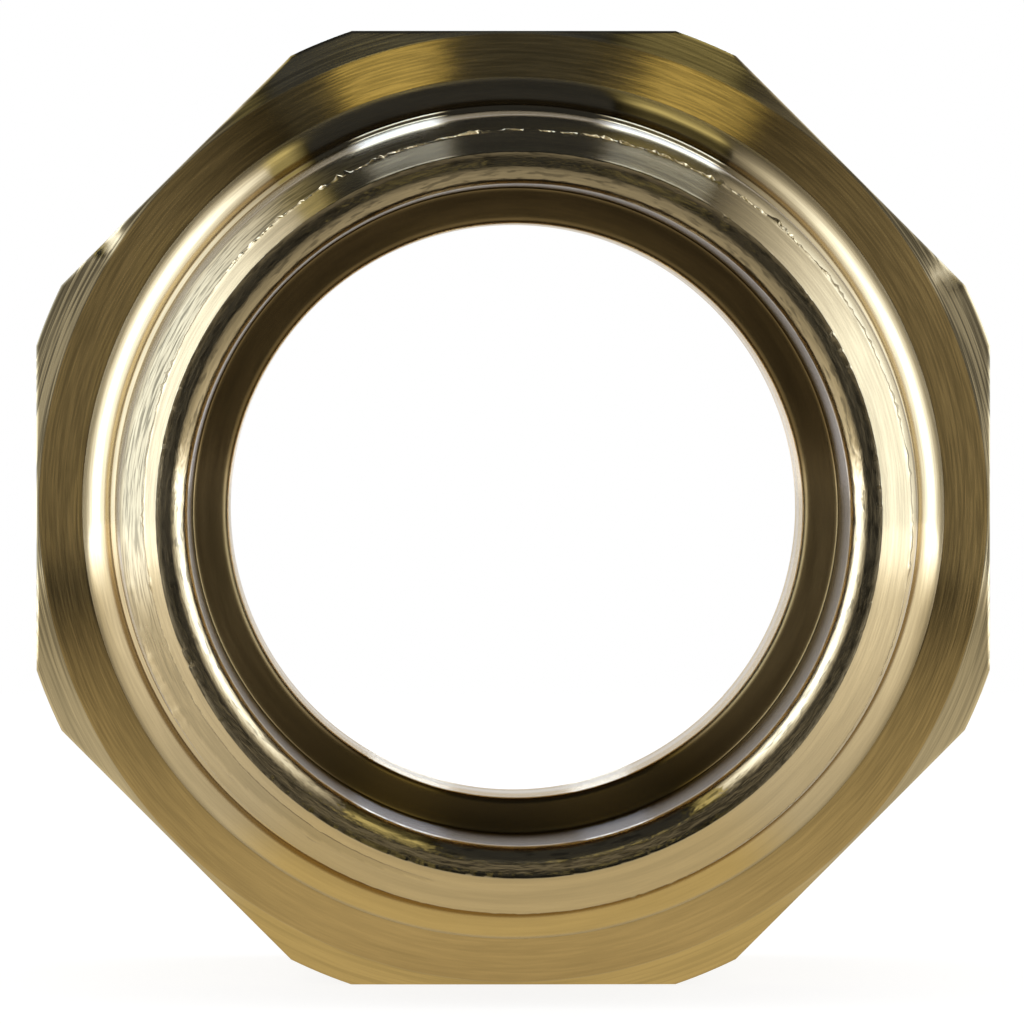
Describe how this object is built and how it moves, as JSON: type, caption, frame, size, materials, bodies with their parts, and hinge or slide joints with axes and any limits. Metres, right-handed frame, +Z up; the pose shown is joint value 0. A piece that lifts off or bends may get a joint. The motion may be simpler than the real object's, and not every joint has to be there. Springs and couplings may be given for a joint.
{
  "type": "octagonal brass straight pipe adapter",
  "caption": "Octagonal brass straight adapter with a male taper pipe thread, a stepped through bore and a female pipe thread in the body.",
  "frame": {"origin": "on the surface it lies on, below the middle of its length and width", "axes": "+Z up from the flat it lies on, +Y along the fitting's axis from the male end to the female end"},
  "size_m": [0.032, 0.0336, 0.032],
  "materials": {
    "brass": "turned and brushed metal"
  },
  "bodies": {
    "root": {"adapter_body": "brass"}
  },
  "joints": []
}
